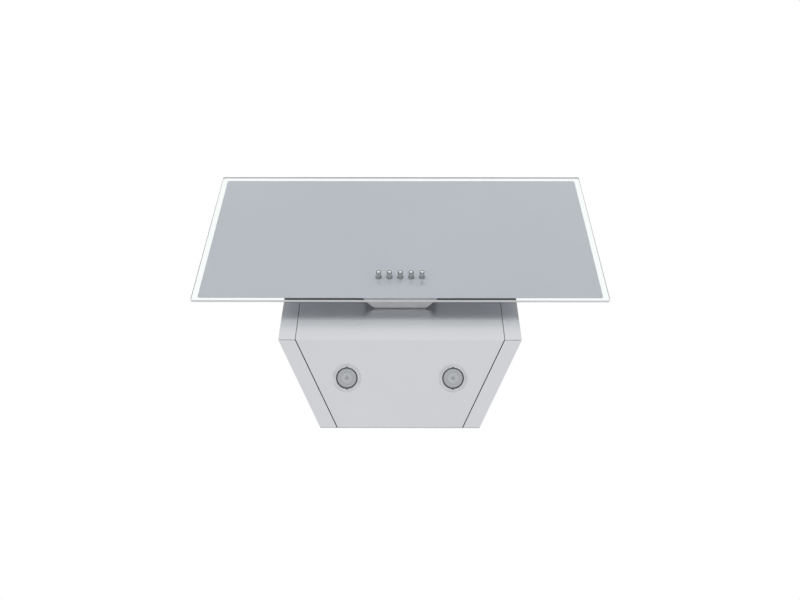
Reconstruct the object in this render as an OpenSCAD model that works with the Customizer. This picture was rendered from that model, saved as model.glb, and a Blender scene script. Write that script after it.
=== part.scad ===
// Inclined wall hood: a glass front that tilts open, a tapered steel body, two base lamps,
// five push buttons, a grease filter behind the glass, a blower and a round duct collar.
// Y = 0 is the wall and -Y faces the room. X runs along the wall and Z is up.
// The origin is the centre of the four wall screws, on the wall face.

/* [Body] */
// Width of the body in front of its tapered part
body_w = 510; // [500:2:530]
// Width of the body at the wall
wall_w = 336; // [330:2:350]
// Depth of the flat base, from the wall to the fold
base_d = 188; // [184:1:196]
// Height of the body
body_h = 410; // [406:1:430]
// Lean of the front and of the glass from upright
lean = 32; // [31:0.5:33]
// Thickness of the body sheet
sheet = 1; // [0.8:0.1:1.2]
// Thickness of the back plate
back_t = 1.5; // [1.2:0.1:2.5]
// Width of the flanges that border the front panel
flange_w = 35; // [32:0.5:37]
// Outer radius of the fold in the front panel
bend_r = 5; // [3:0.5:8]
// Open mitre between a base flange and a front flange
mitre_gap = 0.8; // [0.5:0.1:1.5]

/* [Front panel] */
// Gap at each side of the base part of the panel
panel_gap = 2.2; // [1.5:0.1:3]
// Gap at each side of the front part of the panel
seam_gap = 1.2; // [0.8:0.1:2]
// Depth of the folded edges of the panel
return_d = 12; // [8:1:14]

/* [Glass] */
// Width of the glass
glass_w = 900; // [860:10:940]
// Height of the glass, along its slope
glass_h = 502; // [490:2:520]
// Thickness of the glass
glass_t = 6; // [5:0.5:8]
// Gap between the glass and the front of the body
glass_gap = 30; // [29:0.5:33]
// Lower edge of the glass above the fold, along the slope
glass_up = 88; // [84:1:92]
// Corner radius of the glass
glass_corner_r = 6; // [4:1:10]
// Clear border around the enamel
clear_border = 13; // [11:0.5:16]
// Corner radius of the enamel
enamel_corner_r = 6; // [2:1:8]
// Thickness of the enamel on the back of the glass
enamel_t = 0.3; // [0.2:0.1:0.4]

/* [Glass hinges] */
// Distance between the two hinges
hinge_span = 380; // [370:2:390]
// Width of each hinge
hinge_w = 36; // [32:1:40]
// Hinge pin below the top of the front, along the slope
hinge_down = 11.5; // [10.5:0.5:14]
// Hinge pin behind the glass
hinge_back = 14; // [13:0.5:15]
// Radius of the hinge pins
hinge_pin_r = 2.5; // [2:0.1:3]
// Radius of the hinge knuckles
knuckle_r = 5; // [4.5:0.5:6]
// Thickness of the hinge leaves
leaf_t = 2; // [1.5:0.1:2.5]
// Height of the fixed leaf, along the slope
fixed_leaf_h = 28; // [26:1:34]
// Height of the leaf on the glass, along the slope
glass_leaf_h = 60; // [50:1:70]

/* [Glass catches] */
// Distance between the two magnet catches
catch_span = 400; // [392:2:406]
// Height of the catches above the fold, along the slope
catch_up = 230; // [215:5:260]
// Radius of the magnet cups
magnet_r = 9; // [7:0.5:10]
// Thickness of the magnet cups
magnet_t = 4; // [3:0.5:6]
// Radius of the catch posts
post_r = 7; // [5:0.5:8]

/* [Controls] */
// Distance between buttons
button_pitch = 24; // [22:0.5:26]
// Height of the buttons above the lower edge of the glass
button_up = 86; // [80:1:92]
// Radius of a button
button_r = 5.5; // [4.5:0.1:6]
// How far a button stands out of the glass
button_out = 12; // [9:0.5:14]
// Travel of a button
button_travel = 3; // [2:0.5:3.5]
// Gap around each button
button_fit = 0.3; // [0.25:0.05:0.5]
// Wall of the bush around each button
bush_wall = 1; // [0.8:0.1:1.5]
// Room in the switch box beside the switch block
box_spare = 3; // [1:0.5:8]
// Switch block beyond the first and the last button
block_end = 6; // [5:0.5:9]
// Height of the switch box, along the slope
box_h = 104; // [96:2:120]
// Lower end of the switch box above the lower edge of the glass
box_up = 17; // [15:1:24]
// Bevel along the sides of the switch box
box_bevel = 21; // [16:1:22]
// Gap between the switch box and the body
box_gap = 4; // [2:0.5:6]
// Wall of the switch box
box_wall = 2; // [1.5:0.1:2.5]
// Height of the switch block, along the slope
block_h = 26; // [22:1:32]

/* [Lamps] */
// Distance between the lamps
lamp_span = 223; // [200:1:240]
// Distance of the lamps from the wall
lamp_y = 107; // [98:1:114]
// Radius of a lamp flange
lamp_flange_r = 30.5; // [28.5:0.5:34]
// Thickness of a lamp flange
lamp_flange_t = 1.2; // [0.8:0.1:2]
// Radius of the sleeve of a lamp bezel
lamp_sleeve_r = 26; // [25:0.5:27]
// Height of the sleeve of a lamp bezel
lamp_sleeve_h = 18; // [14:1:24]
// Radius of a lamp lens
lens_r = 20.4; // [19:0.2:21]
// Thickness of a lamp lens
lens_t = 3; // [2:0.5:4]
// Dark groove around a lens
lens_groove = 2.4; // [1.8:0.1:3]
// Radius of the bulb of a lamp
bulb_r = 4.5; // [3.5:0.1:5.5]
// Length of the bulb of a lamp
bulb_len = 14; // [10:1:15]

/* [Grease filter] */
// Width of the filter
filter_w = 337; // [320:1:345]
// Height of the filter, along the slope
filter_h = 247; // [236:1:250]
// Thickness of the filter
filter_t = 10; // [9:0.5:12]
// Lower edge of the filter above the fold, along the slope
filter_up = 176; // [170:1:190]
// Gap around the filter
filter_fit = 1.5; // [1:0.1:2]
// Width of the filter frame
filter_rim = 14; // [13:1:17]
// Width of the ledge behind the filter
ledge_w = 9; // [7:0.5:10]
// Pitch of the filter slots across the width
slot_pitch = 18; // [16:0.5:24]
// Travel of the filter latch
latch_travel = 5; // [4:0.5:6]

/* [Blower] */
// Radius of the fan wheel
fan_r = 80; // [76:1:82]
// Length of the fan wheel, along its shaft
fan_len = 104; // [96:2:108]
// Number of blades
blade_count = 36; // [24:1:40]
// Thickness of a blade
blade_t = 0.8; // [0.6:0.1:1.2]
// Depth of the blades, from rim to inner edge
blade_d = 14; // [12:1:16]
// Gap between the wheel and the side cheeks
fan_side_gap = 8; // [6:0.5:12]
// Gap between the wheel and the start of the scroll
scroll_gap = 14; // [13:0.5:16]
// Growth of the scroll in each quarter turn
scroll_step = 15; // [13:0.5:16]
// Wall of the scroll
scroll_t = 1; // [0.8:0.1:1.5]
// Height of the fan shaft above the base
fan_up = 276; // [274:1:280]
// Side of the outlet nearest the shaft
tongue_y = 20; // [18:0.5:22]
// Rim around the outlet of the scroll
outlet_rim = 10; // [8:0.5:12]

/* [Motor] */
// Radius of the motor
motor_r = 44; // [38:1:46]
// Length of the motor
motor_len = 68; // [60:1:72]
// Radius of the shaft
shaft_r = 4; // [3:0.5:5]
// Radial running gap of the shaft
bearing_fit = 0.05; // [0.03:0.01:0.08]
// Width of the arms that hold the motor
arm_w = 14; // [10:1:18]

/* [Duct collar] */
// Distance of the duct from the wall
duct_y = 125; // [122:1:128]
// Outer radius of the collar
duct_r = 75; // [74:0.5:76]
// Wall of the collar
duct_wall = 1.5; // [1.2:0.1:2]
// Height of the collar
duct_h = 45; // [42:1:55]
// Width of the flange of the collar
duct_flange_w = 18; // [14:1:22]
// Thickness of the flange of the collar
duct_flange_t = 2; // [1.5:0.1:3]
// Height of the flap pin above the top of the body
flap_up = 14; // [12:0.5:18]
// Thickness of a flap
flap_t = 1.6; // [1.2:0.1:2]
// Gap between a flap and the collar
flap_gap = 1; // [0.6:0.1:1.5]
// Radius of the flap pin
flap_pin_r = 2; // [1.5:0.1:2.5]
// Radial running gap of a flap on its pin
flap_fit = 0.08; // [0.05:0.01:0.1]

/* [Wall fixing] */
// Distance between wall screws along the wall
screw_dx = 250; // [230:2:256]
// Distance between wall screws up the wall
screw_dz = 240; // [200:5:260]
// Centre of the wall screws above the base
screw_up = 205; // [195:1:215]
// Radius of the wall screw holes
screw_hole_r = 4; // [3:0.5:5]

/* [Electrics] */
// Width of the junction box
junction_w = 80; // [70:1:90]
// Depth of the junction box
junction_d = 56; // [48:1:60]
// Height of the junction box
junction_h = 36; // [30:1:45]
// Junction box from the middle of the body
junction_x = 136; // [133:1:140]
// Radius of the cable way in the gland
cable_r = 4.5; // [3.5:0.5:5.5]
// Length of the gland
gland_len = 22; // [18:1:28]
// Width of the lamp transformer
supply_w = 66; // [56:1:80]
// Depth of the lamp transformer
supply_d = 42; // [34:1:48]
// Height of the lamp transformer
supply_h = 30; // [24:1:34]
// Radius of the motor capacitor
cap_r = 15; // [12:0.5:18]
// Length of the motor capacitor
cap_len = 48; // [40:1:52]

/* [Hidden] */
$fn = 96;
far = 900;                                      // reach of a cutting block
seat = 0.3;                                     // gap between pieces that only rest near each other
snug = 0.05;                                    // gap of a pin or screw in its hole
screw_r = 1.9;                                  // shank of a panel screw
screw_head_r = 3.8;
screw_head_t = 2.2;
button_count = 5;

base_z = -screw_up;
top_z = base_z + body_h;
side_h = body_h - sheet;                        // the top plate lies on the sides
front_len = body_h / cos(lean);                 // length of the front up the slope
front_run = body_h * tan(lean);                 // how far the front reaches beyond the fold
fold_turn = 90 - lean;
taper = (body_w - wall_w) / 2 / base_d;         // sideways run of the tapered sides for each mm of depth
taper_len = sqrt(1 + taper * taper);
steel = [0.80, 0.81, 0.83];
dark_steel = [0.45, 0.46, 0.48];
zinc = [0.68, 0.69, 0.70];

// Half width of the body at depth d from the wall, with its sides moved in by i
function side_x(d, i = 0) = wall_w / 2 + min(d, base_d) * taper - i * (d < base_d ? taper_len : 1);

// Y of the front at height z above the base, moved inwards by i
function front_y(z, i = 0) = -base_d - z * tan(lean) + i / cos(lean);

// Places things on the sloped front: Y is depth behind the front face and Z runs up the slope
module on_front(up = 0, depth = 0) {
    translate([0, -base_d, base_z])
        rotate([lean, 0, 0])
            translate([0, depth, up])
                children();
}

// Turns an outline drawn in Y and Z into a bar of width w along X
module along_x(w) {
    rotate([90, 0, 90])
        linear_extrude(w, center = true)
            children();
}

module both_sides() {
    children();
    mirror([1, 0, 0])
        children();
}

// Side outline of the body in Y and Z, with base and front moved in by i, and corner radius r
module side_outline(i, rear, top, r) {
    corner = [front_y(i, i), i];
    reach = r * tan(fold_turn / 2);
    middle = corner + [reach, r];
    front_end = corner + reach * [-sin(lean), cos(lean)];
    translate([0, base_z])
        difference() {
            polygon([[-rear, i], corner, [front_y(top, i), top], [-rear, top]]);
            difference() {
                polygon([corner + [reach, 0], corner - [r, r], front_end, middle]);
                translate(middle)
                    circle(r);
            }
        }
}

// Plan of the body, seen from above, with its sides moved in square to themselves by i
module plan(i, rear) {
    bend_d = base_d + i * (taper_len - 1) / taper;
    right = [[side_x(rear, i), -rear], [body_w / 2 - i, -bend_d], [body_w / 2 - i, -far]];
    polygon(concat(right, [for (k = [2:-1:0]) [-right[k].x, right[k].y]]));
}

// Plan with its sides moved in along X, by base_in beside the base and by front_in beyond the fold
module plan_between(base_in, front_in, rear) {
    right = [[wall_w / 2 + rear * taper - base_in, -rear], [body_w / 2 - base_in, -base_d],
        [body_w / 2 - front_in, -base_d], [body_w / 2 - front_in, -far]];
    polygon(concat(right, [for (k = [3:-1:0]) [-right[k].x, right[k].y]]));
}

module upright(z0, z1) {
    translate([0, 0, z0])
        linear_extrude(z1 - z0)
            children();
}

// The filled body, moved in by i all round
module body_block(i, r) {
    intersection() {
        along_x(body_w)
            side_outline(i, back_t + i, side_h - i, r);
        upright(base_z - 1, top_z)
            plan(i, back_t + i);
    }
}

// A skin that follows base and front, from depth d0 to depth d1 below their outer faces
module folded_skin(d0, d1) {
    difference() {
        along_x(body_w)
            side_outline(d0, back_t, side_h, max(bend_r - d0, 0.2));
        along_x(body_w + 2)
            side_outline(d1, back_t - 1, side_h + 1, max(bend_r - d1, 0.2));
    }
}

// Places of the screws that hold the top plate, on the right
top_screws = [[side_x(14) - flange_w / 2, -14], [side_x(145) - flange_w / 2, -145],
    [body_w / 2 - flange_w / 2, -base_d - front_run * 0.35],
    [body_w / 2 - flange_w / 2, -base_d - front_run * 0.8]];

module at_top_screws() {
    for (p = top_screws)
        translate([p.x, p.y, top_z])
            children();
}

// One side of the body: a wall with flanges towards base, front, top and back
module side_panel() {
    color(steel)
        difference() {
            body_block(0, 1.5);
            body_block(sheet, 0.6);
            upright(base_z - 2, top_z + 1)
                plan_between(flange_w, flange_w, 0);
            translate([-far, -far, base_z - 1])
                cube([far, far, body_h + 2]);
            mitre();
            at_top_screws()
                cylinder(r = screw_r + snug, h = 8, center = true);
        }
}

// The open mitre at the fold, which stops short of the side wall
module mitre() {
    half_turn = 90 - fold_turn / 2;
    reach = flange_w * 2;
    translate([body_w / 2 - sheet - 1.5 - reach, -base_d, base_z])
        rotate([half_turn, 0, 0])
            translate([0, -4, -mitre_gap / 2])
                cube([reach, 12, mitre_gap]);
}

module back_panel() {
    color(zinc)
        difference() {
            translate([-wall_w / 2, -back_t, base_z])
                cube([wall_w, back_t, side_h]);
            for (x = [-1, 1], z = [-1, 1])
                translate([x * screw_dx / 2, 0, z * screw_dz / 2])
                    rotate([90, 0, 0])
                        cylinder(r = screw_hole_r, h = 4 * back_t, center = true);
        }
}

module top_panel() {
    color(zinc)
        difference() {
            intersection() {
                along_x(body_w)
                    side_outline(0, 0, body_h, 1);
                upright(top_z - sheet, top_z)
                    plan(0, 0);
            }
            translate([0, -duct_y, top_z - 2])
                cylinder(r = duct_r - duct_wall, h = 4);
            both_sides()
                at_top_screws()
                    cylinder(r = screw_r + snug, h = 8, center = true);
        }
}

module panel_screws() {
    color(dark_steel)
        both_sides()
            at_top_screws() {
                cylinder(r = screw_head_r, h = screw_head_t);
                translate([0, 0, -7])
                    cylinder(r = screw_r, h = 7);
            }
}

filter_open_w = filter_w + 2 * filter_fit;
filter_open_h = filter_h + 2 * filter_fit;
filter_mid = filter_up + filter_h / 2;

module on_filter(depth = 0) {
    on_front(filter_mid, depth)
        children();
}

// A plate on the front, w wide and h high, from depth 0 to t
module front_plate(w, h, t) {
    translate([-w / 2, 0, -h / 2])
        cube([w, t, h]);
}

// The folded sheet between the flanges: base and front in one, with lamp holes and filter recess
module front_panel() {
    color(steel)
        difference() {
            union() {
                intersection() {
                    folded_skin(0, sheet);
                    upright(base_z - 1, top_z)
                        plan_between(flange_w + panel_gap, flange_w + seam_gap, back_t);
                }
                panel_returns();
                on_filter(sheet / 2)
                    front_plate(filter_open_w + 2 * sheet, filter_open_h + 2 * sheet, filter_t + sheet / 2);
            }
            on_filter(-1)
                front_plate(filter_open_w, filter_open_h, filter_t + 1);
            on_filter()
                front_plate(filter_open_w - 2 * ledge_w, filter_open_h - 2 * ledge_w, filter_t + 4);
            on_filter()
                recess_slots();
            at_lamps()
                cylinder(r = lamp_sleeve_r + seat, h = 6, center = true);
        }
}

// Slots in the walls of the recess for the latch bolt and for the tabs of the filter
module recess_slots() {
    translate([-latch_bolt_w / 2 - seat, latch_depth - 0.01, filter_h / 2 + filter_fit / 2])
        cube([latch_bolt_w + 2 * seat, latch_t + seat, filter_fit + sheet + 2]);
    at_tabs()
        translate([0, -seat, 0])
            front_plate(tab_w + 2 * seat, 4 * (filter_fit + sheet), tab_t + 2 * seat);
}

// Folded edges along both sides of the front panel, with a relief notch at the fold
module panel_returns() {
    relief = 2;
    intersection() {
        folded_skin(0, return_d);
        difference() {
            upright(base_z - 1, top_z)
                plan_between(flange_w + panel_gap, flange_w + seam_gap, back_t);
            upright(base_z - 2, top_z + 1)
                plan_between(flange_w + panel_gap + sheet, flange_w + seam_gap + sheet, 0);
            translate([-body_w / 2, -base_d - relief / 2, base_z - 1])
                cube([body_w, relief, 4 * return_d]);
        }
    }
}

module at_lamps() {
    both_sides()
        translate([lamp_span / 2, -lamp_y, base_z])
            children();
}

lens_low = 0.4;                                 // the lens face stands this far above the flange face
lens_z = lens_low - lamp_flange_t;
lens_seat_r = lens_r + lens_groove;
cone_low = lens_z + lens_t + seat;
cone_h = 24;
cone_top_r = 8;
cone_t = 0.8;
socket_z = cone_low + cone_h;
socket_r = 9;
socket_h = 14;

// The ring that shows around each lamp, with its sleeve and the two notches for lifting the lens
module lamp_bezels() {
    color(steel)
        at_lamps()
            difference() {
                rotate_extrude()
                    polygon([[lens_seat_r, -lamp_flange_t], [lamp_flange_r - 1, -lamp_flange_t],
                        [lamp_flange_r, -lamp_flange_t + 0.8], [lamp_flange_r, 0], [lamp_sleeve_r, 0],
                        [lamp_sleeve_r, lamp_sleeve_h], [lamp_sleeve_r - 1, lamp_sleeve_h],
                        [lamp_sleeve_r - 1, 1.2], [lens_seat_r, 1.2]]);
                for (a = [90, 270])
                    rotate([0, 0, a])
                        translate([lens_seat_r - 1, -1.6, -lamp_flange_t - 1])
                            cube([2.6, 3.2, 4]);
            }
}

module lamp_lenses() {
    color([0.72, 0.75, 0.78])
        at_lamps()
            rotate_extrude()
                polygon([[0, lens_z], [lens_r - 7, lens_z], [lens_r - 6.4, lens_z + 0.4],
                    [lens_r - 5.8, lens_z],
                    [lens_r - 0.8, lens_z], [lens_r, lens_z + 0.8], [lens_r, lens_z + lens_t],
                    [0, lens_z + lens_t]]);
}

// The dark cup that holds lens, reflector and socket inside the bezel sleeve
module lamp_housings() {
    inner_r = lamp_sleeve_r - 1 - snug;
    color([0.12, 0.12, 0.13])
        at_lamps()
            rotate_extrude()
                polygon([[lens_r + snug, lens_z + 1.6], [lens_seat_r - snug, lens_z + 1.6],
                    [lens_seat_r - snug, 1.25], [inner_r, 1.25], [inner_r, lamp_sleeve_h + 2],
                    [cone_top_r + 7, socket_z + 2], [cone_top_r + 7, socket_z + 4],
                    [socket_r + snug, socket_z + 4], [socket_r + snug, socket_z + 2.5],
                    [cone_top_r + 5, socket_z + 1], [inner_r - 2, lamp_sleeve_h],
                    [inner_r - 2, cone_low + 3], [lens_r + snug, cone_low + 1]]);
}

module lamp_reflectors() {
    color("silver")
        at_lamps()
            rotate_extrude()
                polygon([[lens_r - 0.5, cone_low], [lens_r - 1.6, cone_low + cone_h * 0.4],
                    [lens_r - 5.4, cone_low + cone_h * 0.75], [cone_top_r, cone_low + cone_h - seat],
                    [cone_top_r - 2, cone_low + cone_h - seat], [lens_r - 7.4, cone_low + cone_h * 0.75],
                    [lens_r - 1.6 - 2 * cone_t, cone_low + cone_h * 0.4],
                    [lens_r - 0.5 - 2 * cone_t, cone_low]]);
}

module lamp_bulbs() {
    color([0.9, 0.92, 0.9])
        at_lamps()
            translate([0, 0, socket_z - bulb_len])
                rotate_extrude()
                    difference() {
                        union() {
                            translate([0, bulb_r])
                                circle(bulb_r);
                            translate([0, bulb_r])
                                square([bulb_r, bulb_len - bulb_r]);
                        }
                        translate([-2 * bulb_r, -1])
                            square([2 * bulb_r, bulb_len + 2]);
                    }
}

module lamp_sockets() {
    color([0.93, 0.92, 0.88])
        at_lamps()
            translate([0, 0, socket_z]) {
                cylinder(r = socket_r, h = socket_h);
                translate([0, 0, socket_h])
                    cylinder(r = socket_r * 0.6, h = 4);
            }
}

// Two leaf springs on each lamp, which press its flange against the panel
module lamp_springs() {
    spring_w = 8;
    spring_t = 0.6;
    color(zinc)
        at_lamps()
            for (a = [45, 225])
                rotate([0, 0, a])
                    translate([lamp_sleeve_r + 0.1, -spring_w / 2, 0]) {
                        translate([0, 0, sheet + 2])
                            cube([spring_t, spring_w, lamp_sleeve_h - sheet - 2]);
                        translate([0, 0, lamp_sleeve_h - spring_t])
                            cube([7, spring_w, spring_t]);
                        translate([7 - spring_t, 0, sheet])
                            cube([spring_t, spring_w, lamp_sleeve_h - sheet]);
                        translate([7 - spring_t, 0, sheet])
                            cube([4, spring_w, spring_t]);
                    }
}

latch_w = 46;
latch_t = 2;
latch_bolt_w = 16;
latch_depth = sheet + seat;                     // the bolt passes behind the front sheet
rib_w = 22;
rib_h = 3;
tab_w = 14;
tab_t = 2;
tab_x = filter_w / 3;
tab_depth = filter_t / 2;
mesh_t = filter_t - 4;
mesh_w = filter_w - 2 * filter_rim;
mesh_h = filter_h - 2 * filter_rim;
mesh_reach = 3.5;                               // how far the mesh reaches into the frame

// Frame of the filter cassette, a channel of folded aluminium around the mesh, with two tabs below
module filter_frame() {
    groove = mesh_reach + 0.5;
    color([0.75, 0.76, 0.77])
        on_filter() {
            difference() {
                front_plate(filter_w, filter_h, filter_t);
                translate([0, -1, 0])
                    front_plate(mesh_w, mesh_h, filter_t + 2);
                translate([0, (filter_t - mesh_t) / 2 - snug, 0])
                    front_plate(mesh_w + 2 * groove, mesh_h + 2 * groove, mesh_t + 2 * snug);
                latch_pocket();
            }
            at_tabs()
                front_plate(tab_w, 2 * (filter_fit + sheet), tab_t);
        }
}

module at_tabs() {
    for (s = [-1, 1])
        translate([s * tab_x, tab_depth, -filter_h / 2])
            children();
}

latch_top = filter_h / 2 - 1;                   // upper edge of the latch plate at rest
latch_plate_h = filter_rim - latch_travel - mesh_reach - 1.5;

// The pocket that the latch slides in, inside the top rail of the frame, and the window for its rib
module latch_pocket() {
    pocket_h = latch_plate_h + latch_travel + 2 * seat;
    translate([-latch_w / 2 - seat, latch_depth - seat, latch_top + seat - pocket_h])
        cube([latch_w + 2 * seat, latch_t + 2 * seat, pocket_h]);
    translate([-latch_bolt_w / 2 - seat, latch_depth - seat, latch_top - 1])
        cube([latch_bolt_w + 2 * seat, latch_t + 2 * seat, 4]);
    translate([-rib_w / 2 - seat, -1, latch_rib_z() - latch_travel - seat])
        cube([rib_w + 2 * seat, latch_depth + 1.5, rib_h + latch_travel + 2 * seat]);
}

// Lower edge of the thumb rib
function latch_rib_z() = latch_top - latch_plate_h / 2 - rib_h / 2;

// Sliding latch of the filter: a plate with a thumb rib and a bolt that enters the panel
module filter_latch() {
    color([0.25, 0.26, 0.28])
        on_filter() {
            translate([-latch_w / 2, latch_depth, latch_top - latch_plate_h])
                cube([latch_w, latch_t, latch_plate_h]);
            translate([-latch_bolt_w / 2, latch_depth, latch_top - 1])
                cube([latch_bolt_w, latch_t, filter_h / 2 - latch_top + 1 + filter_fit + sheet + 1]);
            translate([-rib_w / 2, -1.6, latch_rib_z()])
                cube([rib_w, latch_depth + 2, rib_h]);
        }
}

// Expanded mesh with pointed slots in rows
module filter_mesh() {
    slot_w = slot_pitch - 4;
    slot_h = 8;
    row_pitch = 13;
    cols = floor((mesh_w - 8) / slot_pitch);
    rows = floor((mesh_h - 8) / row_pitch);
    color([0.62, 0.63, 0.64])
        on_filter((filter_t - mesh_t) / 2)
            translate([0, mesh_t, 0])
                rotate([90, 0, 0])
                    linear_extrude(mesh_t)
                        difference() {
                            square([mesh_w + 2 * mesh_reach, mesh_h + 2 * mesh_reach], center = true);
                            for (c = [0:cols - 1], r = [0:rows - 1])
                                translate([(c - (cols - 1) / 2) * slot_pitch,
                                    (r - (rows - 1) / 2) * row_pitch])
                                    polygon([[-slot_w / 2, 0], [0, -slot_h / 2],
                                        [slot_w / 2, 0], [0, slot_h / 2]]);
                        }
}

scroll_w = fan_len + 2 * fan_side_gap + 2 * scroll_t;
scroll_r1 = fan_r + scroll_gap;
scroll_r2 = scroll_r1 + scroll_step;
scroll_r3 = scroll_r2 + scroll_step;
outlet_y = scroll_step / 2 + scroll_r3;         // wall side of the outlet, from the shaft
fan_y = -duct_y - (tongue_y + outlet_y) / 2;
fan_z = base_z + fan_up;
outlet_top = top_z - sheet - fan_z;
inlet_r = fan_r - blade_d - 2;

module at_fan() {
    translate([0, fan_y, fan_z])
        children();
}

// Outline of the scroll in Y and Z from the shaft, moved in by i: three growing quarter arcs and the outlet
module scroll_outline(i, top) {
    a = scroll_step / 2;
    intersection() {
        translate([-a, -a])
            circle(scroll_r1 - i);
        translate([-far, -a])
            square([far + tongue_y + i, far]);
    }
    intersection() {
        translate([a, -a])
            circle(scroll_r2 - i);
        translate([-far, -far])
            square([far + a, far - a + 0.01]);
    }
    intersection() {
        translate([a, a])
            circle(scroll_r3 - i);
        translate([a - 0.01, -far])
            square([far, far + a + 0.01]);
    }
    translate([tongue_y + i, a])
        square([outlet_y - tongue_y - 2 * i, top - a]);
    translate([-a, -a])
        square([tongue_y + a + i, 2 * a]);
}

// Sheet wrapped around the fan and up to the outlet, between the two cheeks
module blower_wrap() {
    color([0.70, 0.71, 0.72])
        at_fan()
            along_x(scroll_w - 2 * scroll_t)
                difference() {
                    scroll_outline(0, outlet_top);
                    scroll_outline(scroll_t, outlet_top + 1);
                }
}

// Cheek on the right of the scroll, with a rolled lip around its inlet
module blower_cheek() {
    lip = 5;
    color([0.66, 0.67, 0.68])
        at_fan()
            translate([scroll_w / 2 - scroll_t, 0, 0])
                rotate([0, 90, 0]) {
                    difference() {
                        rotate(90)
                            linear_extrude(scroll_t)
                                scroll_outline(0, outlet_top);
                        cylinder(r = inlet_r, h = 4 * scroll_t, center = true);
                    }
                    rotate_extrude()
                        inlet_lip(lip);
                }
}

// Section of the lip: a quarter ring that curls into the scroll
module inlet_lip(lip) {
    translate([inlet_r + lip, 0])
        difference() {
            circle(lip);
            circle(lip - scroll_t);
            translate([-2 * lip, 0])
                square([4 * lip, 2 * lip]);
            translate([0, -2 * lip])
                square([2 * lip, 3 * lip]);
        }
}

// Rim around the outlet, which screws the scroll to the top plate
module blower_rim() {
    rim_t = 1.5;
    outlet_w = scroll_w + 2 * snug;
    outlet_d = outlet_y - tongue_y + 2 * snug;
    color(zinc)
        at_fan()
            translate([0, (outlet_y + tongue_y) / 2, outlet_top - rim_t])
                linear_extrude(rim_t)
                    difference() {
                        square([outlet_w + 2 * outlet_rim, outlet_d + 2 * outlet_rim], center = true);
                        square([outlet_w, outlet_d], center = true);
                    }
}

motor_end = -scroll_w / 2 - 12;                 // outer end of the motor along X
hub_end = 13;                                   // end of the fan hub, away from the motor
fan_rim_t = 2;                                  // end rims of the fan wheel

// Places pieces of the fan, whose local Z runs along the shaft
module along_shaft() {
    at_fan()
        rotate([0, 90, 0])
            children();
}

// Disc in the middle of the fan wheel, with its hub on the shaft
module fan_disc() {
    hub_r = 11;
    hub_start = motor_end + motor_len + 1;
    disc_t = 1.5;
    color(zinc)
        along_shaft()
            difference() {
                union() {
                    cylinder(r = fan_r - blade_d, h = disc_t, center = true);
                    translate([0, 0, hub_start])
                        cylinder(r = hub_r, h = hub_end - hub_start);
                }
                cylinder(r = shaft_r + snug, h = 60, center = true);
            }
}

// Two rims that hold the ends of the blades
module fan_rims() {
    color(zinc)
        along_shaft()
            for (z = [-fan_len / 2, fan_len / 2 - fan_rim_t])
                translate([0, 0, z])
                    difference() {
                        cylinder(r = fan_r, h = fan_rim_t);
                        translate([0, 0, -1])
                            cylinder(r = fan_r - blade_d * 0.4, h = fan_rim_t + 2);
                    }
}

// Forward curved blades between the two rims, round the edge of the disc
module fan_blades() {
    curve_r = blade_d * 0.85;
    color([0.62, 0.63, 0.65])
        along_shaft()
            linear_extrude(fan_len - 2 * fan_rim_t, center = true)
                for (k = [0:blade_count - 1])
                    rotate(k * 360 / blade_count)
                        blade(curve_r);
}

// Section of one blade, an arc from the inner edge to the rim
module blade(curve_r) {
    intersection() {
        difference() {
            circle(fan_r - 0.2);
            circle(fan_r - blade_d);
        }
        translate([fan_r - blade_d / 2, curve_r * 0.62])
            difference() {
                circle(curve_r, $fn = 48);
                circle(curve_r - blade_t, $fn = 48);
                translate([-2 * curve_r, 0])
                    square([4 * curve_r, 2 * curve_r]);
            }
    }
}

module fan_shaft() {
    color([0.75, 0.76, 0.78])
        at_fan()
            translate([motor_end - 3, 0, 0])
                rotate([0, 90, 0])
                    cylinder(r = shaft_r, h = hub_end + 3 - motor_end);
}

bell_step = 3;                                  // the end bells of the motor are this much smaller

// Motor: laminated middle between two round end bells
module motor_body() {
    bell_r = motor_r - bell_step;
    boss_r = motor_r * 0.36;
    color([0.40, 0.42, 0.45])
        at_fan()
            translate([motor_end, 0, 0])
                rotate([0, 90, 0])
                    rotate_extrude()
                        polygon([[shaft_r + bearing_fit, 0], [boss_r, 0], [boss_r, 3],
                            [bell_r - 5, 4], [bell_r, 8], [bell_r, motor_len * 0.3],
                            [motor_r, motor_len * 0.3], [motor_r, motor_len * 0.7],
                            [bell_r, motor_len * 0.7], [bell_r, motor_len - 8],
                            [bell_r - 5, motor_len - 4], [boss_r, motor_len - 3],
                            [boss_r, motor_len], [shaft_r + bearing_fit, motor_len]]);
}

// Bracket that carries the motor in the left inlet: a hoop, three arms and three feet on the cheek
module motor_bracket() {
    hoop_t = 2;
    hoop_h = 8;
    arm_t = 2;
    hoop_r = motor_r - bell_step + snug;
    foot_r = inlet_r + 20;
    color(zinc)
        at_fan()
            translate([-scroll_w / 2, 0, 0])
                rotate([0, 90, 0])
                    difference() {
                        union() {
                            cylinder(r = hoop_r + hoop_t, h = hoop_h, center = true);
                            for (a = [60, 180, 300])
                                rotate([0, 0, a])
                                    translate([0, -arm_w / 2, -arm_t])
                                        cube([foot_r, arm_w, arm_t]);
                        }
                        cylinder(r = hoop_r, h = 2 * hoop_h, center = true);
                    }
}

module at_duct() {
    translate([0, -duct_y, top_z])
        children();
}

duct_in_r = duct_r - duct_wall;

// Ring on the top plate that carries the collar
module duct_flange() {
    color(zinc)
        at_duct()
            difference() {
                cylinder(r = duct_r + duct_flange_w, h = duct_flange_t);
                cylinder(r = duct_in_r, h = 3 * duct_flange_t, center = true);
            }
}

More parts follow.
